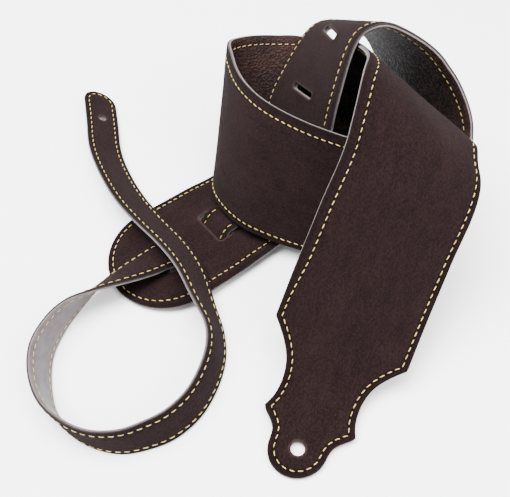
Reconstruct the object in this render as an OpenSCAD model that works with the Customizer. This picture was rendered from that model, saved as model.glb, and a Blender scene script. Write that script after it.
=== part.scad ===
// Suede guitar strap, lying loosely coiled on a flat surface.
// A wide body strap with a scalloped button end, and a narrow adjuster
// strap woven through two of its crossways slots.
// +X to the right, +Y to the back, +Z up, surface at Z = 0.

/* [Wide strap] */
// Width of the wide strap
wide_w = 63.5; // [62.5:0.1:64]
// Thickness of its suede face
suede_t = 1.4; // [1.1:0.1:1.4]
// Thickness of its pebbled lining
lining_t = 1.2; // [0.9:0.1:1.2]
// Length of the rounded tail end
tail_round = 31; // [24:1:34]

/* [Narrow adjuster strap] */
// Width of the adjuster strap
adj_w = 19; // [18:0.1:19.2]
// Thickness of its suede face
adj_suede_t = 1.2; // [0.9:0.1:1.2]
// Thickness of its backing
adj_backing_t = 1.0; // [0.8:0.1:1]

/* [Slots and button holes] */
// Length of each slot across the strap
slot_len = 20.4; // [20:0.1:21]
// Opening of a slot that is not in use
slot_gap = 3; // [2:0.1:3.5]
// Opening of a slot that the adjuster runs through
threaded_gap = 7.8; // [7.6:0.1:8]
// Diameter of the button hole in the scalloped end
front_hole_d = 6.2; // [5.5:0.1:6.5]
// Diameter of the button hole in the adjuster's tip
adj_hole_d = 4.2; // [3.8:0.1:4.8]

/* [Stitching] */
// Width of the thread line
thread_w = 0.8; // [0.6:0.1:1]
// Height of the thread above the suede
thread_h = 0.35; // [0.25:0.05:0.4]
// Stitch line to the left edge of the wide strap
inset_left = 2.8; // [2.6:0.1:4]
// Stitch line to the right edge of the wide strap
inset_right = 4.8; // [3:0.1:5]
// Stitch line to the edges of the adjuster strap
inset_adj = 2.6; // [2.4:0.1:3]

/* [Flexing ends] */
// Length of the scalloped end that lifts
front_flex_len = 70; // [68:1:76]
// Length of the adjuster's tip that lifts
tip_flex_len = 44; // [40:1:48]

/* [Hidden] */

suede_col = [0.25, 0.19, 0.19];
lining_col = [0.42, 0.22, 0.17];
backing_col = [0.60, 0.52, 0.52];
thread_col = [0.82, 0.76, 0.50];

// The layers lie between these heights over the middle surface.
wide_top = (suede_t + lining_t) / 2;
wide_mid = wide_top - suede_t;
adj_top = (adj_suede_t + adj_backing_t) / 2;
adj_mid = adj_top - adj_suede_t;
// Free gap where a flexing end meets the rest of its strap
flex_gap = 0.3;
// Sets the origin at the centre of the whole strap's footprint.
base_centre = [-0.68, 3.05, 0];
// The thread sinks this far into the suede.
thread_sink = 0.25;

// Stations of the wide strap from the tail end to the scalloped end:
// a point of the centre line, then the direction across to the right edge.
WIDE_STATIONS = [
    [-69, -27, 1.8, 0.62, -0.78, 0.04],
    [-45, -8, 4.4, 0.62, -0.78, 0.02],
    [-21, 11, 4.4, 0.62, -0.78, 0.03],
    [2, 30, 6.9, 0.6, -0.78, 0.13],
    [18, 46, 31, 0.5, -0.8, 0.34],
    [26, 60, 57, 0.42, -0.78, 0.47],
    [41, 76, 81.5, 0.26, -0.82, 0.54],
    [63, 69, 83.5, 0.12, -0.78, 0.61],
    [82, 57, 58, 0.2, -0.5, 0.84],
    [94, 41, 31.5, 0.33, -0.4, 0.85],
    [80, 15, 30.2, 0.44, -0.05, 0.87],
    [56, 3, 33, 0.14, 0.35, 0.93],
    [26, 9, 36.5, 0.04, 0.5, 0.87],
    [-3, 27, 38, 0.04, 0.65, 0.76],
    [-17, 54, 36.2, 0.14, 0.6, 0.78],
    [-12, 81, 32.8, 0.03, 0.38, 0.9],
    [18, 89, 28.5, -0.14, 0.54, 0.84],
    [43, 80, 34, -0.33, 0.56, 0.74],
    [61, 60, 52.5, -0.48, 0.54, 0.66],
    [72.5, 37, 75, -0.66, 0.64, 0.25],
    [73, 8, 85.5, -0.72, 0.45, 0.51],
    [67, -14, 72, -0.8, 0.38, 0.44],
    [57, -32, 54, -0.86, 0.35, 0.36],
    [47, -50, 35, -0.9, 0.34, 0.27],
    [38, -67, 18, -0.92, 0.36, 0.16],
    [27, -90, 5, -0.93, 0.36, 0.04],
    [13, -120, 1.5, -0.93, 0.36, 0],
];

// Stations of the adjuster strap from its free tip, over the tail end,
// round the open loop, down through one slot and up through the next.
ADJ_STATIONS = [
    [-97, 115, 6, -0.9, 0, 0.4],
    [-91.5, 89.5, 6.2, -0.9, 0, 0.42],
    [-86.5, 66, 7, -0.88, -0.05, 0.45],
    [-78, 45, 8.6, -0.82, -0.25, 0.5],
    [-67, 25, 11, -0.76, -0.38, 0.52],
    [-55, 9, 12.5, -0.72, -0.42, 0.55],
    [-42, -7, 14.5, -0.7, -0.4, 0.6],
    [-32, -23, 16, -0.66, -0.3, 0.7],
    [-25, -40, 14, -0.55, -0.1, 0.83],
    [-19, -54, 10.5, -0.42, 0, 0.9],
    [-18, -66, 9.7, -0.38, 0.1, 0.92],
    [-21, -79, 9.7, -0.33, 0.18, 0.92],
    [-27, -91, 9.7, -0.25, 0.25, 0.93],
    [-36, -100, 9.7, -0.15, 0.28, 0.94],
    [-46, -105, 9.7, -0.05, 0.25, 0.96],
    [-57, -108, 9.8, 0.05, 0.15, 0.98],
    [-69, -107, 10, 0.05, 0, 1],
    [-80, -102, 10, 0, -0.08, 0.99],
    [-90, -93, 10, -0.12, -0.12, 0.98],
    [-96, -80, 10, -0.24, -0.14, 0.95],
    [-98, -65, 10, -0.27, -0.15, 0.95],
    [-94, -51, 10, -0.2, -0.2, 0.95],
    [-87, -40, 10, -0.1, -0.35, 0.93],
    [-77, -31, 10.4, 0.05, -0.65, 0.75],
    [-66, -24, 10.6, 0.22, -0.82, 0.52],
    [-56, -17, 9.2, 0.5, -0.8, 0.25],
    [-47.3, -9.8, 7.4, 0.62, -0.78, 0.05],
    [-45, -8, 4.4, 0.62, -0.78, 0.02],
    [-42.7, -6.2, 1.5, 0.62, -0.78, 0.02],
    [-33, 1, 1.35, 0.62, -0.79, 0],
    [-23.3, 9.2, 1.5, 0.62, -0.79, 0.02],
    [-21, 11, 4.4, 0.62, -0.78, 0.03],
    [-18.7, 12.8, 7.2, 0.62, -0.78, 0.06],
    [-14.5, 16, 7.7, 0.62, -0.78, 0.07],
];

// A smooth curve through four neighbouring stations
function blend4(a, b, c, d, t) =
    0.5 * (2 * b + (c - a) * t + (2 * a - 5 * b + 4 * c - d) * t * t
        + (3 * b - a - 3 * c + d) * t * t * t);
function last(v) = v[len(v) - 1];
function padded(k) = concat([2 * k[0] - k[1]], k, [2 * last(k) - k[len(k) - 2]]);
function smooth(k, n) = let(p = padded(k))
    concat([for (i = [0 : len(k) - 2]) for (j = [0 : n - 1])
        blend4(p[i], p[i + 1], p[i + 2], p[i + 3], j / n)], [last(k)]);
function xyz(q) = [q[0], q[1], q[2]] + base_centre;
function across(q) = let(a = [q[3], q[4], q[5]]) a / norm(a);
function unit(v) = v / norm(v);

// Rows of a ribbon: distance along it, centre, ruling, normal, tangent
function along(q) = [for (i = 0, a = 0; i < len(q);
    a = a + norm(xyz(q[min(i + 1, len(q) - 1)]) - xyz(q[i])), i = i + 1) a];
function rows(q) = let(a = along(q), m = len(q) - 1)
    [for (i = [0 : m]) let(
        t = unit(xyz(q[min(i + 1, m)]) - xyz(q[max(i - 1, 0)])),
        d = across(q[i]),
        b = d - (d * t) * t,
        r = d / norm(b))
        [a[i], xyz(q[i]), r, cross(unit(b), t), t]];
function ribbon(k) = rows(smooth(k, 8));
function length_of(g) = last(g)[0];
function row_at(g, s) = let(
    i = max([for (j = [0 : len(g) - 2]) if (g[j][0] <= s) j]),
    f = (s - g[i][0]) / (g[i + 1][0] - g[i][0]))
    [for (k = [0 : 4]) g[i][k] * (1 - f) + g[i + 1][k] * f];

wide = ribbon(WIDE_STATIONS);
adj = ribbon(ADJ_STATIONS);
wide_len = length_of(wide);
adj_len = length_of(adj);
front_cut = wide_len - front_flex_len;

// Half width of the scalloped end at a distance from its tip
lobe_r = 12.9;
scallop = [[12.9, 12.9], [16, 13.2], [18.5, 14.2], [20.5, 15.8], [22.5, 18],
    [24.5, 20.2], [26, 21], [28, 20.2], [31, 19], [35, 18.4], [40, 18.3],
    [44, 18.9], [48, 20], [52, 22], [56, 24.8], [60, 28.3], [63.5, 31.75]];
// The slots across the wide strap, from the tail end
first_slot = 30;
slot_pitch = 31;
front_hole_x = 12.7;
adj_hole_x = 24;
function round_end(x, len, hw) = x >= len ? hw : hw * sqrt(max(0, 1 - pow(1 - x / len, 2)));
function scallop_half(x) = x < lobe_r ? sqrt(max(0, lobe_r * lobe_r - pow(lobe_r - x, 2)))
    : lookup(x, scallop) * wide_w / 63.5;
function wide_half(s) = min(round_end(s, tail_round, wide_w / 2), scallop_half(wide_len - s));
function adj_half(s) = min(round_end(s, adj_w / 2, adj_w / 2), adj_w / 2);

// Distances along the strap at which it is cut into rings
function spread(a, b, step) = let(n = ceil((b - a) / step))
    [for (i = [0 : n]) a + (b - a) * i / n];
tail_rings = [for (w = [7.5 : 7.5 : 82.5]) tail_round * (1 - cos(w))];
scallop_rings = [63.5, 60, 56, 52, 48, 44, 40, 35, 31, 28, 26, 24.5, 22.5, 20.5,
    18.5, 16, 12.9, 9, 6, 3.5, 1.8, 0.7, 0.15];
tip_rings = [for (w = [12 : 13 : 77]) adj_w / 2 * (1 - cos(w))];
slot_rings = concat([for (s = [first_slot : slot_pitch / 4 : 100]) s],
    [110.25, 118.75, 127.25, 134.5, 142, 149.75, 158.25, 167.5, 176.5, 185, 193.5, 202]);
wide_rings = concat(tail_rings, slot_rings, spread(208.5, front_cut - flex_gap, 6.5));
front_rings = concat([wide_len - front_cut], [for (x = scallop_rings) x]);
front_s = [for (x = front_rings) wide_len - x];
tip_s = concat(tip_rings, spread(adj_w / 2, tip_flex_len, 5));
adj_s = concat(spread(tip_flex_len + flex_gap, 400, 5), spread(402, adj_len, 2.2));

// A closed skin over rings of points, with flat end faces. Each four-sided
// field is split by a diagonal, the other way on the sides in turned, so that
// two layers split the surface they share in the same way.
module ringed(rings, turned = []) {
    n = len(rings);
    m = len(rings[0]);
    points = [for (r = rings) each r];
    sides = [for (i = [0 : n - 2]) for (j = [0 : m - 1])
        let(k = (j + 1) % m, a = i * m + j, b = i * m + k, c = a + m, d = b + m)
        each (len(search(j, turned)) > 0
            ? [[a, d, c], [a, b, d]]
            : [[a, b, c], [b, d, c]])];
    ends = m == 6 ? [[0, 1, 2, 3], [3, 4, 5, 0]] : [[0, 1, 2, 3]];
    first_end = [for (e = ends) [e[3], e[2], e[1], e[0]]];
    far_end = [for (e = ends) [for (j = e) (n - 1) * m + j]];
    polyhedron(points, concat(sides, first_end, far_end), convexity = 10);
}

// One layer of a strap between two heights over its middle surface
module layer(rings) {
    ringed([for (q = rings) let(p = q[0], h = q[1], lo = q[2], hi = q[3])
        [p[1] + lo * p[3], p[1] + h * p[2] + lo * p[3],
            p[1] + h * p[2] + hi * p[3], p[1] + hi * p[3],
            p[1] - h * p[2] + hi * p[3], p[1] - h * p[2] + lo * p[3]]], [2, 3]);
}
module wide_layer(stops, lo, hi) {
    layer([for (s = stops) [row_at(wide, s), wide_half(s), lo, hi]]);
}
module adj_layer(stops, lo, hi) {
    layer([for (s = stops) [row_at(adj, s), adj_half(s), lo, hi]]);
}

// A cutter set square to a strap at a distance along it
module at_row(p) {
    b = unit(cross(p[4], p[3]));
    t = unit(p[4]);
    n = unit(p[3]);
    multmatrix([[t.x, b.x, n.x, p[1].x], [t.y, b.y, n.y, p[1].y], [t.z, b.z, n.z, p[1].z]])
        children();
}
module slot(s, gap) {
    at_row(row_at(wide, s))
        cube([gap, slot_len, 5], center = true);
}
module wide_slots() {
    for (i = [0 : 5])
        slot(first_slot + slot_pitch * i, i < 2 ? threaded_gap : slot_gap);
}
module front_hole() {
    at_row(row_at(wide, wide_len - front_hole_x))
        cylinder(d = front_hole_d, h = 12, center = true, $fn = 48);
}
module adj_hole() {
    at_row(row_at(adj, adj_hole_x))
        cylinder(d = adj_hole_d, h = 12, center = true, $fn = 48);
}

// A stitch line: one low ridge along a path of [distance, across] places
function on_face(g, q) = let(p = row_at(g, q[0])) [p[1] + q[1] * p[2], unit(p[3])];
module ridge(g, path, top) {
    spots = [for (q = path) on_face(g, q)];
    m = len(spots) - 1;
    lo = top - thread_sink;
    hi = top + thread_h;
    ringed([for (i = [0 : m]) let(
        p = spots[i][0],
        n = spots[i][1],
        dir = spots[min(i + 1, m)][0] - spots[max(i - 1, 0)][0],
        w = thread_w / 2 * unit(cross(dir, n)))
        [p + w + lo * n, p + w + hi * n, p - w + hi * n, p - w + lo * n]]);
}
// The half turn of a stitch line round an end, as [distance from the end, across]
function half_turn(len, depth, left, right) = [for (w = [-80 : 10 : 80])
    [len - depth * cos(w), (w < 0 ? left : right) * sin(w)]];
function flipped(v) = [for (i = [len(v) - 1 : -1 : 0]) v[i]];

module wide_suede_face() {
    color(suede_col)
        difference() {
            wide_layer(wide_rings, wide_mid, wide_top);
            wide_slots();
        }
}
module wide_lining() {
    color(lining_col)
        difference() {
            wide_layer(wide_rings, -wide_top, wide_mid);
            wide_slots();
        }
}
module wide_stitching() {
    left = wide_w / 2 - inset_left;
    right = wide_w / 2 - inset_right;
    runs = spread(tail_round, front_cut - 1.5, 6.5);
    color(thread_col)
        ridge(wide, concat([for (s = flipped(runs)) [s, -left]],
            half_turn(tail_round, tail_round - inset_left, left, right),
            [for (s = runs) [s, right]]), wide_top);
}

module front_suede_face() {
    color(suede_col)
        difference() {
            wide_layer(front_s, wide_mid, wide_top);
            front_hole();
        }
}
module front_lining() {
    color(lining_col)
        difference() {
            wide_layer(front_s, -wide_top, wide_mid);
            front_hole();
        }
}
module front_stitching() {
    // Distances from the tip, from the flexing line down to the round lobe
    runs = concat([front_flex_len - 1.5, 65.5], [for (x = scallop_rings) if (x > 13 && x < 63) x]);
    lobe = half_turn(lobe_r, lobe_r - inset_left, lobe_r - inset_left, lobe_r - inset_left);
    side = [for (x = runs) [wide_len - x, scallop_half(x) - inset_left]];
    color(thread_col)
        ridge(wide, concat([for (q = side) [q[0], -q[1]]],
            [for (q = lobe) [wide_len - q[0], q[1]]],
            flipped(side)), wide_top);
}

module adjuster_suede_face() {
    color(suede_col)
        adj_layer(adj_s, adj_mid, adj_top);
}
module adjuster_backing() {
    color(backing_col)
        adj_layer(adj_s, -adj_top, adj_mid);
}
module adjuster_stitching() {
    v = adj_w / 2 - inset_adj;
    runs = [for (s = adj_s) if (s > tip_flex_len + 1.5 && s < adj_len - 2) s];
    color(thread_col)
        ridge(adj, concat([for (s = runs) [s, v]], [for (s = flipped(runs)) [s, -v]]), adj_top);
}

module adjuster_tip_suede_face() {
    color(suede_col)
        difference() {
            adj_layer(tip_s, adj_mid, adj_top);
            adj_hole();
        }
}
module adjuster_tip_backing() {
    color(backing_col)
        difference() {
            adj_layer(tip_s, -adj_top, adj_mid);
            adj_hole();
        }
}
module adjuster_tip_stitching() {
    v = adj_w / 2 - inset_adj;
    runs = spread(adj_w / 2, tip_flex_len - 1.2, 5);
    color(thread_col)
        ridge(adj, concat([for (s = flipped(runs)) [s, -v]],
            half_turn(adj_w / 2, v, v, v), [for (s = runs) [s, v]]), adj_top);
}

wide_suede_face();
wide_lining();
wide_stitching();
front_suede_face();
front_lining();
front_stitching();
adjuster_suede_face();
adjuster_backing();
adjuster_stitching();
adjuster_tip_suede_face();
adjuster_tip_backing();
adjuster_tip_stitching();
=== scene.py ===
"""Suede guitar strap, lying loosely coiled: the visual model over the CAD frame."""
import math
from collections import namedtuple

import bpy
import numpy as np
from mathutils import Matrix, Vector
from mathutils.geometry import delaunay_2d_cdt
from mathutils.kdtree import KDTree


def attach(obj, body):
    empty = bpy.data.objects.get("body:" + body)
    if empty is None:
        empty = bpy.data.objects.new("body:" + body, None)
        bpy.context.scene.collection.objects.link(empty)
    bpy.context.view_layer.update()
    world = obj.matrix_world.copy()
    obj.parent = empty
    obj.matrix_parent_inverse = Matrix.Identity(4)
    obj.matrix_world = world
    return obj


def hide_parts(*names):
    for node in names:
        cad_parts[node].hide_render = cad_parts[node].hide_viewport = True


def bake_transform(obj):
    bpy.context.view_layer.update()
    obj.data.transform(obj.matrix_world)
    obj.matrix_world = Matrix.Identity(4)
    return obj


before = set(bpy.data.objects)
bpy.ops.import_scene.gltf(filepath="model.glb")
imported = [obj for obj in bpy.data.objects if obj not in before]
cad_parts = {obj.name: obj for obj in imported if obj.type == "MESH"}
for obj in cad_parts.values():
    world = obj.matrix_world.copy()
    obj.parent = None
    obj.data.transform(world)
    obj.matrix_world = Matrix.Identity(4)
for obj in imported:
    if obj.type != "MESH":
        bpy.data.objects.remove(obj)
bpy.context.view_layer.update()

# Lengths are in mm, as in the CAD, until Route.place() turns them into metres. Bump
# depths, the camera, the floor and the lights are in metres.
MM = 0.001
# Where the stations' origin lies in the shared frame
BASE = np.array([-0.68, 3.05, 0.0])

# ------------------------------------------------------------------ sizes, mm
WIDE_W = 63.5
WIDE_TOP = 1.3
WIDE_MID = -0.1
TAIL_ROUND = 31.0
SLOT_LEN = 20.4
SLOT_GAP = 3.0
THREADED_GAP = 7.8
FIRST_SLOT = 30
SLOT_PITCH = 31
SLOT_CORNER = 1.4
FRONT_HOLE_R = 3.1
FRONT_HOLE_X = 12.7
INSET_LEFT = 2.8
INSET_RIGHT = 4.8
SCALLOP_LEN = 64

ADJ_W = 19.0
ADJ_TOP = 1.1
ADJ_MID = -0.1
ADJ_HOLE_R = 2.1
ADJ_HOLE_X = 24
INSET_ADJ = 2.6
ADJ_CORNER = .6

# Where each strap's visible mesh is parted, and a stretch near its end, given to Flex
# (nothing bends along it), both measured from that end's tip
FRONT_PART = 96
FRONT_BEND = (84, 56)
TIP_PART = 66.0
TIP_BEND = (56, 32)

# Meshes: the grid inside a cut, the steps along its edge and its seam, and the steps
# to a station of a route
WIDE_GRID = 2.2
WIDE_EDGE_STEP = 1.1
ADJ_GRID = 1.7
ADJ_EDGE_STEP = .9
SEAM_STEP = .9
STATION_STEPS = 16

# The surface of a cut is rolled over this far in from its edge.
ROLL = 0.4
# The rolled edge: how far in, and how far down from the good face
ROLL_STEPS = [(.18, .09), (.04, .28), (0, .55)]
# The first of those rings still look like the good face; the others are cut edge.
FACE_RINGS = 2
# Just above the back, so that the last ring isn't on it
BACK_STEP = .02

# The good face's relief: the groove of the seam, the raised lips of the slots,
# the fall to the edge, and the band along each where there is no waviness
GROOVE_WIDTH = .75
LIP_START = .5
LIP_REACH = 1.3
EDGE_FALL = .25
EDGE_REACH = 1.2
CALM = 1
CALM_FADE = 4

# Stations of the two straps, as in the CAD: a point of the centre line, then
# the direction across to the right edge.
WIDE_STATIONS = [
    (-69, -27, 1.8, .62, -.78, .04), (-45, -8, 4.4, .62, -.78, .02),
    (-21, 11, 4.4, .62, -.78, .03), (2, 30, 6.9, .60, -.78, .13),
    (18, 46, 31, .50, -.80, .34), (26, 60, 57, .42, -.78, .47),
    (41, 76, 81.5, .26, -.82, .54), (63, 69, 83.5, .12, -.78, .61),
    (82, 57, 58, .20, -.50, .84), (94, 41, 31.5, .33, -.40, .85),
    (80, 15, 30.2, .44, -.05, .87), (56, 3, 33, .14, .35, .93),
    (26, 9, 36.5, .04, .50, .87), (-3, 27, 38, .04, .65, .76),
    (-17, 54, 36.2, .14, .60, .78), (-12, 81, 32.8, .03, .38, .90),
    (18, 89, 28.5, -.14, .54, .84), (43, 80, 34, -.33, .56, .74),
    (61, 60, 52.5, -.48, .54, .66), (72.5, 37, 75, -.66, .64, .25),
    (73, 8, 85.5, -.72, .45, .51), (67, -14, 72, -.80, .38, .44),
    (57, -32, 54, -.86, .35, .36), (47, -50, 35, -.90, .34, .27),
    (38, -67, 18, -.92, .36, .16), (27, -90, 5, -.93, .36, .04),
    (13, -120, 1.5, -.93, .36, 0)]
ADJ_STATIONS = [
    (-97, 115, 6, -.9, 0, .40), (-91.5, 89.5, 6.2, -.9, 0, .42),
    (-86.5, 66, 7, -.88, -.05, .45), (-78, 45, 8.6, -.82, -.25, .5),
    (-67, 25, 11, -.76, -.38, .52), (-55, 9, 12.5, -.72, -.42, .55),
    (-42, -7, 14.5, -.70, -.40, .6), (-32, -23, 16, -.66, -.30, .7),
    (-25, -40, 14, -.55, -.10, .83), (-19, -54, 10.5, -.42, 0, .9),
    (-18, -66, 9.7, -.38, .10, .92), (-21, -79, 9.7, -.33, .18, .92),
    (-27, -91, 9.7, -.25, .25, .93), (-36, -100, 9.7, -.15, .28, .94),
    (-46, -105, 9.7, -.05, .25, .96), (-57, -108, 9.8, .05, .15, .98),
    (-69, -107, 10, .05, 0, 1), (-80, -102, 10, 0, -.08, .99),
    (-90, -93, 10, -.12, -.12, .98), (-96, -80, 10, -.24, -.14, .95),
    (-98, -65, 10, -.27, -.15, .95), (-94, -51, 10, -.20, -.2, .95),
    (-87, -40, 10, -.1, -.35, .93), (-77, -31, 10.4, .05, -.65, .75),
    (-66, -24, 10.6, .22, -.82, .52), (-56, -17, 9.2, .50, -.80, .25),
    (-47.3, -9.8, 7.4, .62, -.78, .05), (-45, -8, 4.4, .62, -.78, .02),
    (-42.7, -6.2, 1.5, .62, -.78, .02), (-33, 1, 1.35, .62, -.79, 0),
    (-23.3, 9.2, 1.5, .62, -.79, .02), (-21, 11, 4.4, .62, -.78, .03),
    (-18.7, 12.8, 7.2, .62, -.78, .06), (-14.5, 16, 7.7, .62, -.78, .07)]

# The scalloped end, as (distance from the tip, half width), past its round lobe
SCALLOP = [
    (16, 13.2), (18.5, 14.2), (20.5, 15.8), (22.5, 18), (24.5, 20.2), (26, 21),
    (28, 20.2), (31, 19), (35, 18.4), (40, 18.3), (44, 18.9), (48, 20), (52, 22),
    (56, 24.8), (60, 28.3), (63.5, 31.75)]
SCALLOP_POINT = 5
LOBE_R = 12.9


# ---------------------------------------------------------------------- routes
def unit(v):
    return v / np.linalg.norm(v, axis=-1, keepdims=True)


def smooth(stations, n):
    """A Catmull-Rom curve through the stations, with n steps to a span."""
    k = np.array(stations, float)
    k = np.vstack([2 * k[0] - k[1], k, 2 * k[-1] - k[-2]])
    points = []
    for i in range(len(k) - 3):
        a, b, c, d = k[i:i + 4]
        for t in np.arange(n) / n:
            square = (2 * a - 5 * b + 4 * c - d) * t * t
            points.append(.5 * (2 * b + (c - a) * t + square + (3 * b - a - 3 * c + d) * t ** 3))
    return np.array(points + [k[-2]])


def length_along(points):
    """The distance along a line at each of its points."""
    steps = np.linalg.norm(np.diff(points, axis=0), axis=1)
    return np.concatenate([[0], np.cumsum(steps)])


class Route:
    """A ruled ribbon through stations: centre, ruling and normal by distance along it."""

    def __init__(self, stations):
        rows = smooth(stations, STATION_STEPS)
        self.centre = rows[:, :3] + BASE
        across = unit(rows[:, 3:])
        tangent = unit(np.gradient(self.centre, axis=0))
        forward = (across * tangent).sum(1)[:, None]
        square = across - forward * tangent
        reach = np.linalg.norm(square, axis=1)[:, None]
        self.ruling = across / reach
        self.slant = (forward / reach)[:, 0]
        self.normal = unit(np.cross(square, tangent))
        self.s = length_along(self.centre)
        self.length = self.s[-1]

    def at(self, rows, s):
        return np.stack([np.interp(s, self.s, rows[:, i]) for i in range(3)], -1)

    def place(self, s, v, w):
        """Points s along, v across and w above the middle surface, in metres."""
        s, v, w = np.atleast_1d(s), np.atleast_1d(v), np.atleast_1d(w)
        side = v[:, None] * self.at(self.ruling, s)
        rise = w[:, None] * self.at(self.normal, s)
        return (self.at(self.centre, s) + side + rise) * MM

    def lean(self, s):
        """How far forward the ruling goes for each mm across."""
        return float(np.interp(s, self.s, self.slant))


WIDE = Route(WIDE_STATIONS)
ADJ = Route(ADJ_STATIONS)


# --------------------------------------------------------------- flat outlines
# A flat point is (distance along, across). Every outline has the material on its right.
def resample(line, step, closed=False):
    p = np.array(line, float)
    if closed:
        p = np.vstack([p, p[:1]])
    a = length_along(p)
    t = np.linspace(0, a[-1], max(3, round(a[-1] / step)) + 1)
    out = np.stack([np.interp(t, a, p[:, 0]), np.interp(t, a, p[:, 1])], -1)
    return out[:-1] if closed else out


def rounded(points):
    """Corners cut twice, with the two ends left where they are."""
    p = np.array(points, float)
    for _ in range(2):
        q = p[:-1] * .75 + p[1:] * .25
        r = p[:-1] * .25 + p[1:] * .75
        p = np.vstack([p[:1], np.stack([q, r], 1).reshape(-1, 2), p[-1:]])
    return p


def scallop_side():
    """One side of the scalloped end, from its tip to the full width."""
    angles = np.radians(np.arange(0, 91, 4))
    lobe = [(LOBE_R - LOBE_R * math.cos(a), LOBE_R * math.sin(a)) for a in angles]
    neck = rounded([lobe[-1]] + SCALLOP[:SCALLOP_POINT + 1])
    body = rounded(SCALLOP[SCALLOP_POINT:])
    return np.vstack([lobe, neck[1:], body[1:]])


def scallop_line(part):
    """From the right edge at part, round the scalloped end, to the left edge."""
    side = scallop_side()
    right = np.stack([WIDE.length - side[::-1, 0], side[::-1, 1]], -1)
    left = np.stack([WIDE.length - side[1:, 0], -side[1:, 1]], -1)
    return np.vstack([[(part, WIDE_W / 2)], right, left, [(part, -WIDE_W / 2)]])


def half_turn(depth, near, left, right):
    """A rounded end: near is where it starts, depth its centre's distance."""
    a = np.radians(np.linspace(-90, 90, 61))
    across = np.where(a < 0, left, right) * np.sin(a)
    return np.stack([depth - (depth - near) * np.cos(a), across], -1)


def round_line(part, depth, half):
    """From the left edge at part, round the end at 0, to the right edge."""
    return np.vstack([[(part, -half)], half_turn(depth, 0, half, half), [(part, half)]])


def outward(line, closed):
    """The direction out of the material at each point of a line."""
    if closed:
        ahead = np.roll(line, -1, 0) - np.roll(line, 1, 0)
    else:
        ahead = np.gradient(line, axis=0)
    ahead = unit(ahead)
    return np.stack([-ahead[:, 1], ahead[:, 0]], -1)


def tree_of(points):
    tree = KDTree(len(points))
    for i, (x, y) in enumerate(points):
        tree.insert((x, y, 0), i)
    tree.balance()
    return tree


def gap_to(tree, point):
    return tree.find((point[0], point[1], 0))[2]


def moved_in(line, d):
    """The line moved d into the material, and trimmed where it would come too near."""
    p = resample(line, .3)
    q = p - d * outward(p, False)
    tree = tree_of(p)
    return q[np.array([gap_to(tree, x) > d - .06 for x in q])]


def slot_loop(s, gap):
    """A slot square to the wide strap, with rounded corners."""
    r = min(SLOT_CORNER, gap / 2 * .95)
    x, y = gap / 2 - r, SLOT_LEN / 2 - r
    points = []
    for cx, cy, start in ((x, y, 0), (-x, y, 90), (-x, -y, 180), (x, -y, 270)):
        for a in np.radians(start + np.linspace(0, 90, 6)):
            points.append((cx + r * math.cos(a), cy + r * math.sin(a)))
    lean = WIDE.lean(s)
    return resample([(s + px - py * lean, py) for px, py in points], .8, closed=True)


def hole_loop(route, s, r):
    lean = route.lean(s)
    turn = np.radians(np.arange(0, 360, 9))
    return np.array([(s + r * math.cos(a) - r * math.sin(a) * lean, r * math.sin(a)) for a in turn])


def inside(loop, points):
    """Which points lie in a closed loop."""
    x, y = points[:, 0], points[:, 1]
    hit = np.zeros(len(points), bool)
    for (x0, y0), (x1, y1) in zip(loop, np.roll(loop, -1, axis=0)):
        if y0 != y1:
            hit ^= ((y0 > y) != (y1 > y)) & (x < (x1 - x0) * (y - y0) / (y1 - y0) + x0)
    return hit


# ---------------------------------------------------------------- strap layers
Rim = namedtuple("Rim", "line out closed")


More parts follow.
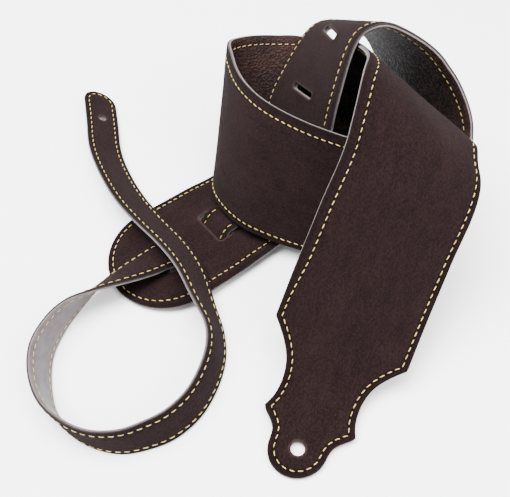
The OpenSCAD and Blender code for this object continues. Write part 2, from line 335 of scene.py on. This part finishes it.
class Pattern:
    """A flat cut with its holes: triangles and rims, ready to lay along a route.

    outline is open: it starts and ends where the rest of the strap carries on.
    """

    def __init__(self, route, outline, holes, seams, step, edge_step):
        self.route = route
        edge = resample(outline, edge_step)
        self.rims = [Rim(edge, outward(edge, False), False)]
        self.rims += [Rim(h, outward(h, True), True) for h in holes]
        points, lines, rim_ids = self.rolled_rims()
        join = self.join_points(points, rim_ids[0], outline[0][0], step)
        chain = [rim_ids[0][-1], *range(len(points), len(points) + len(join)), rim_ids[0][0]]
        points += join
        lines += list(zip(chain, chain[1:]))
        ring = np.array([points[i] for i in rim_ids[0] + chain[1:-1]])
        gaps = [np.array([points[i] for i in ids]) for ids in rim_ids[1:]]
        fill = self.fill_points(ring, holes, seams, step)
        fill = fill[inside(ring, fill)]
        for gap in gaps:
            fill = fill[~inside(gap, fill)]
        self.triangulate(points + thinned(fill, points), lines, rim_ids, ring, gaps)
        self.rim = self.distance([outline])
        self.lip = self.distance(holes, True) if holes else np.full(len(self.flat), 99.)
        self.seam = self.distance(seams)

    def rolled_rims(self):
        """The rims' points, moved in by the rolled edge, and the lines between them."""
        points, lines, rim_ids = [], [], []
        for rim in self.rims:
            ids = list(range(len(points), len(points) + len(rim.line)))
            points += [tuple(p) for p in rim.line - ROLL * rim.out]
            rim_ids.append(ids)
            lines += list(zip(ids, ids[1:])) + ([(ids[-1], ids[0])] if rim.closed else [])
        return points, lines, rim_ids

    @staticmethod
    def join_points(points, ids, part, step):
        """Points of the straight edge where the strap carries on."""
        start, end = points[ids[-1]][1], points[ids[0]][1]
        n = max(2, round(abs(end - start) / step))
        return [(part, start + (end - start) * i / n) for i in range(1, n)]

    @staticmethod
    def fill_points(ring, holes, seams, step):
        """A grid, with closer points round the holes and along the seams."""
        lo, hi = ring.min(0), ring.max(0)
        half = (hi[1] - lo[1]) / 2
        columns = np.arange(math.ceil(lo[0] / step) * step, hi[0], step)
        rows = np.linspace(-1, 1, max(3, round(2 * half / step)) + 1) * half
        points = [(s, v) for s in columns for v in rows]
        for hole in holes:
            for d in (1.1, 2.0, 3.0):
                points += [tuple(p) for p in hole - d * outward(hole, True)]
        for seam in seams:
            for d in (-.9, 0, .9):
                points += [tuple(p) for p in (seam + d * outward(seam, False))[::2]]
        return np.array(points)

    def triangulate(self, points, lines, rim_ids, ring, gaps):
        vectors = [Vector(p) for p in points]
        found, _, faces, sources, _, _ = delaunay_2d_cdt(vectors, lines, [], 0, 1e-6)
        self.flat = np.array([tuple(p) for p in found])
        where = {k: i for i, source in enumerate(sources) for k in source}
        self.rim_ids = [[where[i] for i in ids] for ids in rim_ids]
        triangles = np.array([f for f in faces if len(f) == 3])
        middles = self.flat[triangles].mean(1)
        kept = inside(ring, middles)
        for gap in gaps:
            kept &= ~inside(gap, middles)
        self.triangles = triangles[kept]

    def distance(self, lines, closed=False):
        """How far each point is from the nearest of some lines."""
        tree = tree_of(np.vstack([resample(p, .25, closed) for p in lines]))
        return np.array([gap_to(tree, p) for p in self.flat])


def thinned(fill, fixed):
    """The filling points that aren't crowded; the closer ones come last and go first."""
    tree = tree_of(fixed)
    cell, apart = .7, .42
    kept, cells = [], {}
    for p in reversed([p for p in fill if gap_to(tree, p) > .55]):
        x, y = int(p[0] // cell), int(p[1] // cell)
        around = [(x + i, y + j) for i in (-1, 0, 1) for j in (-1, 0, 1)]
        near = [cells[c] for c in around if c in cells]
        if all((p[0] - q[0]) ** 2 + (p[1] - q[1]) ** 2 > apart for q in near):
            cells[x, y] = p
            kept.append(tuple(p))
    return kept


def waviness(s, v, size):
    """A gentle waviness, so that no face is dead flat."""
    long_wave = np.sin(s * .11 + v * .07) * np.sin(v * .13 - s * .045)
    return size * (long_wave + .5 * np.sin(s * .29 - v * .21))


def rim_faces(a, b, closed, up):
    """The faces between two rings of a rim."""
    faces = []
    for k in range(len(a) if closed else len(a) - 1):
        j = (k + 1) % len(a)
        quad = (a[k], b[k], b[j], a[j])
        faces.append(quad if up else quad[::-1])
    return faces


def layer(name, cut, lo, hi, up, materials, dip, lip, ripple):
    """One leather layer between two heights; its good face is the upper one if up.

    dip is the groove along the seam, lip the rise round the slots. materials are
    the good face's and the cut edge's.
    """
    sign, good, back = (1, hi, lo) if up else (-1, lo, hi)
    s, v = cut.flat[:, 0], cut.flat[:, 1]
    groove = dip * np.exp(-(cut.seam / GROOVE_WIDTH) ** 2)
    rise = lip * np.exp(-(np.maximum(cut.lip - LIP_START, 0) / LIP_REACH) ** 2)
    fall = EDGE_FALL * np.exp(-cut.rim / EDGE_REACH)
    from_rim, from_lip = (np.clip((x - CALM) / CALM_FADE, 0, 1) for x in (cut.rim, cut.lip))
    face = good + sign * (rise - groove - fall + waviness(s, v, ripple) * from_rim * from_lip)

    n = len(s)
    points = [cut.route.place(s, v, face), cut.route.place(s, v, np.full(n, float(back)))]
    flats = [np.stack([s, v, np.full(n, float(sign))], -1)] * 2
    near = [np.stack([cut.rim, cut.lip, cut.seam], -1)] * 2
    turned = cut.triangles[:, ::-1]
    upper, under = (turned, cut.triangles) if up else (cut.triangles, turned)
    faces = [tuple(t) for t in upper] + [tuple(t + n) for t in under]
    slots = [0] * len(upper) + [1] * len(under)
    count = 2 * n
    for rim, ids in zip(cut.rims, cut.rim_ids):
        m = len(ids)
        rings = [(inset, down, face[ids] - sign * down) for inset, down in ROLL_STEPS]
        rings.append((0, hi - lo - BACK_STEP, np.full(m, back + sign * BACK_STEP)))
        sides = m if rim.closed else m - 1
        previous = ids
        for k, (inset, down, w) in enumerate(rings):
            q = rim.line - inset * rim.out
            share = inset / ROLL
            points.append(cut.route.place(q[:, 0], q[:, 1], w))
            flats.append(np.stack([q[:, 0], q[:, 1], np.full(m, sign * (1 + down))], -1))
            lips = cut.lip[ids] * (share if rim.closed else 1)
            near.append(np.stack([cut.rim[ids] * share, lips, cut.seam[ids]], -1))
            ring = list(range(count, count + m))
            count += m
            faces += rim_faces(previous, ring, rim.closed, up)
            slots += [0 if k < FACE_RINGS else 1] * sides
            previous = ring
        faces += rim_faces(previous, [i + n for i in ids], rim.closed, up)
        slots += [1] * sides
    return build(name, np.vstack(points), faces, materials, slots, np.vstack(flats), np.vstack(near))


def build(name, points, faces, materials, slots, flats, near):
    """A mesh object whose points carry their flat place, for the materials to read.

    near holds their distances from rim, slots and seam. A stitch has no seam, and
    has there how far a point is from its middle, 1 at its ends.
    """
    mesh = bpy.data.meshes.new(name)
    mesh.from_pydata([tuple(p) for p in points], [], faces)
    flat = mesh.attributes.new("flat", "FLOAT_VECTOR", "POINT")
    flat.data.foreach_set("vector", flats.astype(np.float32).ravel())
    for i, key in enumerate(("rim", "lip", "seam")):
        values = np.ascontiguousarray(near[:, i], np.float32)
        mesh.attributes.new(key, "FLOAT", "POINT").data.foreach_set("value", values)
    for material in materials:
        mesh.materials.append(material)
    mesh.polygons.foreach_set("material_index", slots)
    mesh.polygons.foreach_set("use_smooth", [True] * len(faces))
    mesh.validate()
    mesh.update()
    piece = bpy.data.objects.new(name, mesh)
    bpy.context.collection.objects.link(piece)
    return piece


# -------------------------------------------------------------------- stitches
SIDES = 8
STITCH_RINGS = 9
STITCH_SHARE = .62
STITCH_SLOPE = .10
CLEAR_OF_ALL = 9


def tube(first):
    """The faces of one stitch whose points start at first."""
    faces = []
    for k in range(STITCH_RINGS - 1):
        a = first + k * SIDES
        for e in range(SIDES):
            f = (e + 1) % SIDES
            faces.append((a + e, a + f, a + SIDES + f, a + SIDES + e))
    last = first + (STITCH_RINGS - 1) * SIDES
    faces.append(tuple(range(first, first + SIDES))[::-1])
    faces.append(tuple(range(last, last + SIDES)))
    return faces


def stitches(name, route, path, height, pitch, radius, up, span):
    """Separate stitches along a flat path, spaced by their real distance.

    Only those whose middle lies within span, from start to end along the strap,
    are made, but each keeps its own random draw.
    """
    p = resample(path, .25)
    a = length_along(route.place(p[:, 0], p[:, 1], np.full(len(p), height)) / MM)
    n = max(1, round(a[-1] / pitch))
    pitch = a[-1] / n
    half = pitch * STITCH_SHARE / 2
    sign = 1 if up else -1
    t = np.linspace(-1, 1, STITCH_RINGS)
    rng = np.random.default_rng(len(name) + int(path[0][0]))
    points, faces, flats, near = [], [], [], []
    for i in range(n):
        middle = (i + .5) * pitch
        draw = rng.random(3) - .5
        if not span[0] <= float(np.interp(middle, a, p[:, 0])) < span[1]:
            continue
        d = middle + draw[0] * .12 + t * half
        s, v = np.interp(d, a, p[:, 0]), np.interp(d, a, p[:, 1])
        ds, dv = s[-1] - s[0], v[-1] - v[0]
        size = math.hypot(ds, dv) or 1
        side = (STITCH_SLOPE + draw[1] * .05) * t * half
        s, v = s - dv / size * side, v + ds / size * side
        rise = radius * (.62 + draw[2] * .1) * (1 - np.abs(t) ** 2.6 * 1.75)
        centre = route.place(s, v, height + sign * rise)
        ahead = unit(np.gradient(centre, axis=0))
        beside = unit(np.cross(ahead, route.at(route.normal, s) * sign))
        above = np.cross(beside, ahead)
        thick = radius * MM * (1 - .35 * np.abs(t) ** 4) * (1 + .04 * draw[2])
        faces += tube(len(points))
        for k in range(STITCH_RINGS):
            for g in 2 * math.pi * np.arange(SIDES) / SIDES:
                out = math.cos(g) * beside[k] * 1.08 + math.sin(g) * above[k] * .9
                points.append(centre[k] + thick[k] * out)
                flats.append((d[k], radius * g, i % 7))
                near.append((CLEAR_OF_ALL, CLEAR_OF_ALL, abs(t[k])))
    slots = [0] * len(faces)
    return build(name, np.array(points), faces, [THREAD], slots, np.array(flats), np.array(near))


# ------------------------------------------------------------------- materials
class Tree:
    """A short way to write a node tree. Textures read the flat place, in mm."""

    def __init__(self, name):
        self.material = bpy.data.materials.new(name)
        self.material.use_nodes = True
        self.tree = self.material.node_tree
        self.bsdf = self.tree.nodes["Principled BSDF"]

    def put(self, socket, value):
        if isinstance(value, bpy.types.NodeSocket):
            self.tree.links.new(value, socket)
        else:
            socket.default_value = value

    def add(self, kind, inputs, **settings):
        node = self.tree.nodes.new(kind)
        for key, value in settings.items():
            setattr(node, key, value)
        for key, value in inputs.items():
            self.put(node.inputs[key], value)
        return node

    def attribute(self, name, out="Fac"):
        return self.add("ShaderNodeAttribute", {}, attribute_name=name).outputs[out]

    def noise(self, scale, detail, rough, stretch, shift):
        place = {0: self.attribute("flat", "Vector"), 1: (shift, shift * .7, shift * .3), 3: stretch}
        v = self.add("ShaderNodeMapping", place).outputs[0]
        inputs = {"Vector": v, "Scale": scale, "Detail": detail, "Roughness": rough}
        return self.add("ShaderNodeTexNoise", inputs).outputs["Fac"]

    def cells(self, scale, feature, stretch):
        """Cells with slightly wandering walls."""
        v = self.attribute("flat", "Vector")
        wander = self.add("ShaderNodeTexNoise", {"Vector": v, "Scale": .7, "Detail": 2}).outputs["Color"]
        v = self.add("ShaderNodeVectorMath", {0: v, 1: wander}, operation="ADD").outputs[0]
        v = self.add("ShaderNodeMapping", {0: v, 3: stretch}).outputs[0]
        inputs = {"Vector": v, "Scale": scale}
        return self.add("ShaderNodeTexVoronoi", inputs, feature=feature).outputs["Distance"]

    def math(self, op, a, b=0., c=0., clamp=False):
        inputs = {0: a, 1: b, 2: c}
        return self.add("ShaderNodeMath", inputs, operation=op, use_clamp=clamp).outputs[0]

    def span(self, x, lo, hi, to_lo=0., to_hi=1.):
        """Smoothly from to_lo to to_hi as x goes from lo to hi."""
        inputs = {0: x, 1: lo, 2: hi, 3: to_lo, 4: to_hi}
        return self.add("ShaderNodeMapRange", inputs, interpolation_type="SMOOTHSTEP").outputs[0]

    def blend(self, a, share, b):
        """a times share, and the rest b."""
        return self.math("MULTIPLY_ADD", a, share, self.math("MULTIPLY", b, 1 - share))

    def mix(self, share, a, b):
        node = self.add("ShaderNodeMix", {0: share}, data_type="RGBA", blend_type="MIX")
        for i, colour in ((6, a), (7, b)):
            self.put(node.inputs[i], (*colour, 1) if isinstance(colour, tuple) else colour)
        return node.outputs[2]

    def bump(self, height, strength, distance, under=None):
        inputs = {"Height": height, "Strength": strength, "Distance": distance}
        if under is not None:
            inputs["Normal"] = under
        return self.add("ShaderNodeBump", inputs).outputs[0]

    def done(self, colour, rough, normal=None, **constants):
        inputs = {"Base Color": colour, "Roughness": rough, "Normal": normal}
        inputs.update({key.replace("_", " "): value for key, value in constants.items()})
        for key, value in inputs.items():
            if value is not None:
                self.put(self.bsdf.inputs[key], value)
        return self.material


def srgb(r, g, b):
    """Linear colour from 0 to 255 display values."""
    scaled = (x / 255 for x in (r, g, b))
    return tuple(x / 12.92 if x < .0404 else ((x + .055) / 1.055) ** 2.4 for x in scaled)


def shade(colour, by):
    return tuple(x * by for x in colour)


def suede(name, dark, light, highlight_colour):
    """Napped leather: brushed patches, short fibres, and a painted highlight on the raised slot lips and
    rolled edges.
    """
    t = Tree(name)
    patch = t.noise(.05, 4, .6, (1, 1, 0), 0)
    brush = t.noise(.22, 4, .62, (.55, 1.5, 0), 7)
    fibre = t.noise(1.0, 5, .72, (.8, 1.15, 0), 3)
    speck = t.noise(2.6, 3, .7, (1, 1, 0), 11)
    large = t.blend(t.span(patch, .3, .7), .45, t.span(brush, .3, .7))
    grit = t.blend(t.span(fibre, .36, .66), .6, t.span(speck, .36, .66))
    tone = t.math("MULTIPLY_ADD", grit, .8, t.math("MULTIPLY", large, .28), clamp=True)
    colour = t.mix(tone, dark, light)
    # Painted highlight: lighter along the rolled edges and round the raised slot lips, broken up by noise.
    edge_highlight = t.math("MULTIPLY", t.span(t.attribute("rim"), 0, 1.1, 1, 0), t.span(speck, .38, .62, .25, 1))
    lips = t.math("MULTIPLY", t.span(t.attribute("lip"), 0, 1.6, 1, 0), t.span(fibre, .35, .6, .35, 1))
    painted_highlight = t.math("MAXIMUM", t.math("MULTIPLY", edge_highlight, .45), lips)
    colour = t.mix(t.math("MULTIPLY", painted_highlight, .6), colour, highlight_colour)
    # Painted shade: darker along the seam's groove, between the stitches.
    colour = t.mix(t.span(t.attribute("seam"), .3, 1.3, .45, 0), colour, shade(dark, .35))
    colour = t.mix(t.span(t.attribute("rim"), .5, 4.5, .42, 0), colour, shade(dark, .6))
    normal = t.bump(brush, .35, .0008)
    normal = t.bump(t.blend(fibre, .55, speck), 1., .0009, normal)
    return t.done(colour, 1., normal, Sheen_Weight=.02, Sheen_Roughness=.5,
                  Sheen_Tint=(.8, .68, .66, 1), Specular_IOR_Level=.03)


def pebbled(name, dark, light):
    """Finished leather with a pebbled grain."""
    t = Tree(name)
    grain = t.cells(.85, "SMOOTH_F1", (1, 1.15, 0))
    fine = t.cells(2.2, "F1", (1, 1, 0))
    soft = t.noise(.06, 3, .6, (1, 1, 0), 5)
    pit = t.span(grain, .1, .62)
    raised = t.math("ADD", t.span(soft, .3, .7, .1, .6), .45)
    colour = t.mix(t.math("MULTIPLY_ADD", pit, -.5, raised, clamp=True), dark, light)
    # Painted shade: darker along the seam's groove.
    colour = t.mix(t.span(t.attribute("seam"), .3, 1.2, .4, 0), colour, shade(dark, .4))
    normal = t.bump(t.math("SUBTRACT", 1., pit), .8, .00045)
    normal = t.bump(t.math("SUBTRACT", 1., fine), .35, .00015, normal)
    return t.done(colour, t.span(pit, 0, 1, .6, .8), normal, Specular_IOR_Level=.18)


def smooth_back(name, dark, light):
    """The adjuster's plain backing: matte, faintly mottled, with fine creases."""
    t = Tree(name)
    mottle = t.noise(.12, 4, .6, (1, 1, 0), 2)
    crease = t.noise(1.7, 4, .65, (1, .5, 0), 9)
    grain = t.cells(1.6, "F1", (1, 1, 0))
    tone = t.blend(t.span(mottle, .3, .7), .6, t.span(crease, .3, .7))
    colour = t.mix(tone, dark, light)
    # Painted shade: darker along the seam's groove.
    colour = t.mix(t.span(t.attribute("seam"), .3, 1.2, .4, 0), colour, shade(dark, .5))
    height = t.math("MULTIPLY_ADD", crease, .5, t.math("SUBTRACT", 1., grain))
    rough = t.span(crease, .3, .7, .5, .68)
    return t.done(colour, rough, t.bump(height, .5, .0002), Specular_IOR_Level=.4)


def raw_edge(name, dark, light):
    """A cut edge: compacted fibres in layers, stained here and there."""
    t = Tree(name)
    band = t.noise(1.1, 3, .6, (.35, .35, 5), 4)
    fleck = t.noise(3.2, 3, .7, (1, 1, 2), 8)
    tone = t.blend(t.span(band, .35, .65), .6, t.span(fleck, .35, .65))
    return t.done(t.mix(tone, dark, light), .92, t.bump(fleck, .8, .0003),
                  Specular_IOR_Level=.2, Sheen_Weight=.2, Sheen_Roughness=.5)


def thread(name, dark, light):
    """Waxed thread of two twisted plies, with painted shade between the plies and at its ends, where it
    goes into the leather.
    """
    t = Tree(name)
    place = t.add("ShaderNodeSeparateXYZ", {0: t.attribute("flat", "Vector")}).outputs
    ply = t.math("SINE", t.math("MULTIPLY_ADD", place[0], 7.2, t.math("MULTIPLY", place[1], 5.5)))
    tone = t.noise(.35, 2, .5, (1, 1, 3), 6)
    # Painted shade: darker in the grooves between the plies, where the bump sinks.
    colour = t.mix(t.blend(t.span(ply, -1, .6), .6, t.span(tone, .3, .7)), dark, light)
    # Painted shade: darker towards each stitch's ends, where it dips into the leather.
    colour = t.mix(t.span(t.attribute("seam"), .72, 1, 0, .75), colour, shade(dark, .25))
    return t.done(colour, .5, t.bump(ply, .6, .00012), Specular_IOR_Level=.4, Sheen_Weight=.15)


# The suede's last colour is its painted highlight on the slot lips and rolled edges.
SUEDE = suede("suede", srgb(4, 2, 2), srgb(32, 21, 21), srgb(58, 46, 43))
SUEDE_EDGE = raw_edge("suede_edge", srgb(12, 8, 8), srgb(34, 25, 24))
LINING = pebbled("lining", srgb(8, 4, 3), srgb(42, 22, 19))
RAW = raw_edge("raw_edge", srgb(44, 34, 32), srgb(108, 96, 96))
BACK = smooth_back("backing", srgb(52, 44, 45), srgb(88, 79, 81))
THREAD = thread("thread", srgb(104, 82, 30), srgb(186, 166, 92))


# ------------------------------------------------------------- the two straps
# A stretch of a route, named child, from start to end along it; nothing bends a piece there
Flex = namedtuple("Flex", "route child start end")

# How a strap is sewn: sink is how far the thread lies below the face, at top
Sewing = namedtuple("Sewing", "route top sink pitch radius")
WIDE_SEWING = Sewing(WIDE, WIDE_TOP, sink=.12, pitch=3.66, radius=.21)
ADJ_SEWING = Sewing(ADJ, ADJ_TOP, sink=.1, pitch=4.0, radius=.20)


def fit(piece, nodes, flex=None):
    """Sets a piece in the frame, in place of its CAD nodes: it rides the strap's body, or, with flex, is
    left unattached with its transform baked in.
    """
    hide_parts(*nodes)
    if flex is None:
        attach(piece, "strap")
    else:
        start, end = (tuple(flex.route.place(s, 0, 0)[0]) for s in (flex.start, flex.end))
        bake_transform(piece)


def sew(sewing, path, fixed, bending, flex):
    """Stitches on both faces along path, in a piece on the strap's body and one left unattached at flex.

    fixed and bending are each a name, the CAD node whose place the face's stitches
    take, and the span they cover.
    """
    for side, up in (("face", True), ("back", False)):
        height = sewing.top - sewing.sink if up else sewing.sink - sewing.top
        for (name, node, span), bend in ((fixed, None), (bending, flex)):
            piece = stitches(f"{name}_{side}", sewing.route, path, height, sewing.pitch,
                             sewing.radius, up, span)
            fit(piece, [node] if up else [], bend)


def wide_strap():
    part = WIDE.length - FRONT_PART
    left, right = WIDE_W / 2 - INSET_LEFT, WIDE_W / 2 - INSET_RIGHT
    end = scallop_line(part)

    # The seam runs at its own inset along each side, and follows the scallops at the left
    # side's. Before them, the right side eases over to that inset.
    tail = half_turn(TAIL_ROUND, INSET_LEFT, left, right)
    near = WIDE.length - SCALLOP_LEN
    follow = moved_in(end, INSET_LEFT)
    follow = follow[follow[:, 0] > near - 4]
    round_end = [follow[follow[:, 1] > 0], follow[follow[:, 1] <= 0]]
    t = np.linspace(0, 1, 12)
    along = part + 2 + (near - 6 - part - 2) * t
    ease = np.stack([along, right + (left - right) * (t * t * (3 - 2 * t))], -1)
    front = [[(part, right)], ease, *round_end, [(near - 6, -left), (part, -left)]]
    seam = resample(np.vstack([tail[30:], *front, tail[:30]]), .5)
    tail_seam = resample(np.vstack([[(part, -left)], tail, [(part, right)]]), SEAM_STEP)
    front_seam = resample(np.vstack(front), SEAM_STEP)

    slots = [slot_loop(FIRST_SLOT + SLOT_PITCH * i, THREADED_GAP if i < 2 else SLOT_GAP) for i in range(6)]
    button = hole_loop(WIDE, WIDE.length - FRONT_HOLE_X, FRONT_HOLE_R)
    main_line = round_line(part, TAIL_ROUND, WIDE_W / 2)
    main = Pattern(WIDE, main_line, slots, [tail_seam], WIDE_GRID, WIDE_EDGE_STEP)
    front = Pattern(WIDE, end, [button], [front_seam], WIDE_GRID, WIDE_EDGE_STEP)

    flex = Flex(WIDE, "front_end", *(WIDE.length - x for x in FRONT_BEND))
    faces, linings = [SUEDE, SUEDE_EDGE], [LINING, RAW]
    fit(layer("wide_suede", main, WIDE_MID, WIDE_TOP, True, faces,
              dip=.2, lip=.45, ripple=.12),
        ["wide_suede_face"])
    fit(layer("wide_leather_lining", main, -WIDE_TOP, WIDE_MID, False, linings,
              dip=.2, lip=0, ripple=.12),
        ["wide_lining"])
    fit(layer("scalloped_suede", front, WIDE_MID, WIDE_TOP, True, faces,
              dip=.2, lip=.1, ripple=.12),
        ["front_suede_face"], flex)
    fit(layer("scalloped_lining", front, -WIDE_TOP, WIDE_MID, False, linings,
              dip=.2, lip=0, ripple=.12),
        ["front_lining"], flex)
    sew(WIDE_SEWING, seam, ("wide_stitches", "wide_stitching", (-1, part)),
        ("scalloped_stitches", "front_stitching", (part, math.inf)), flex)


def adjuster_strap():
    half = ADJ_W / 2
    inner = half - INSET_ADJ
    end = ADJ.length
    corner = ADJ_CORNER
    tip_turn = half_turn(half, INSET_ADJ, inner, inner)
    seam = resample(np.vstack([[(end - 2, -inner)], tip_turn, [(end - 2, inner)]]), .5)
    tip_seam = resample(np.vstack([[(TIP_PART, -inner)], tip_turn, [(TIP_PART, inner)]]), SEAM_STEP)
    along = np.arange(TIP_PART, end - 1, SEAM_STEP)
    run_seams = [np.array([(s, v) for s in along]) for v in (-inner, inner)]
    run_line = np.array([(TIP_PART, half), (end - corner, half), (end, half - corner),
                         (end, corner - half), (end - corner, -half), (TIP_PART, -half)])

    button = hole_loop(ADJ, ADJ_HOLE_X, ADJ_HOLE_R)
    tip = Pattern(ADJ, round_line(TIP_PART, half, half), [button], [tip_seam], ADJ_GRID, ADJ_EDGE_STEP)
    run = Pattern(ADJ, run_line, [], run_seams, ADJ_GRID, ADJ_EDGE_STEP)

    flex = Flex(ADJ, "adjuster_tip", *TIP_BEND)
    faces, backs = [SUEDE, SUEDE_EDGE], [BACK, RAW]
    fit(layer("adjuster_suede", run, ADJ_MID, ADJ_TOP, True, faces,
              dip=.15, lip=0, ripple=.05),
        ["adjuster_suede_face"])
    fit(layer("adjuster_smooth_backing", run, -ADJ_TOP, ADJ_MID, False, backs,
              dip=.12, lip=0, ripple=.04),
        ["adjuster_backing"])
    fit(layer("adjuster_tip_suede", tip, ADJ_MID, ADJ_TOP, True, faces,
              dip=.15, lip=.1, ripple=.05),
        ["adjuster_tip_suede_face"], flex)
    fit(layer("adjuster_tip_smooth_backing", tip, -ADJ_TOP, ADJ_MID, False, backs,
              dip=.12, lip=0, ripple=.04),
        ["adjuster_tip_backing"], flex)
    sew(ADJ_SEWING, seam, ("adjuster_stitches", "adjuster_stitching", (TIP_PART, math.inf)),
        ("adjuster_tip_stitches", "adjuster_tip_stitching", (-1, TIP_PART)), flex)


wide_strap()
adjuster_strap()


# ------------------------------------------------------ camera, floor and light
def camera():
    """Above and in front, looking down at the photograph's angle."""
    cam = bpy.data.objects.new("camera", bpy.data.cameras.new("camera"))
    cam.data.lens = 47.43
    cam.data.sensor_width = 36
    cam.location = (-0.00068, -0.2056, 0.2872)
    cam.rotation_euler = (math.radians(36), 0, 0)
    bpy.context.collection.objects.link(cam)
    bpy.context.scene.camera = cam


def paper_floor():
    paper = Tree("floor").done((.86, .86, .87, 1), .75, Specular_IOR_Level=.2)
    mesh = bpy.data.meshes.new("floor")
    mesh.from_pydata([(-2, -2, 0), (2, -2, 0), (2, 2, 0), (-2, 2, 0)], [], [(0, 1, 2, 3)])
    mesh.materials.append(paper)
    floor = bpy.data.objects.new("floor", mesh)
    bpy.context.collection.objects.link(floor)


def soft_light(name, place, size, power):
    """A round lamp aimed at the origin."""
    lamp = bpy.data.lights.new(name, "AREA")
    lamp.shape = "DISK"
    lamp.size = size
    lamp.energy = power
    holder = bpy.data.objects.new(name, lamp)
    holder.location = place
    holder.rotation_euler = (-Vector(place)).to_track_quat("-Z", "Y").to_euler()
    bpy.context.collection.objects.link(holder)


def sky(colour, strength):
    world = bpy.data.worlds.new("studio")
    world.use_nodes = True
    background = world.node_tree.nodes["Background"]
    background.inputs[0].default_value = colour
    background.inputs[1].default_value = strength
    bpy.context.scene.world = world


camera()
paper_floor()
soft_light("key", (-.4, -.05, 1.1), .8, 52)
soft_light("fill", (.8, -.5, .9), .9, 22)
soft_light("top", (.1, .1, 1.4), .9, 40)
sky((.95, .97, 1, 1), 1.45)
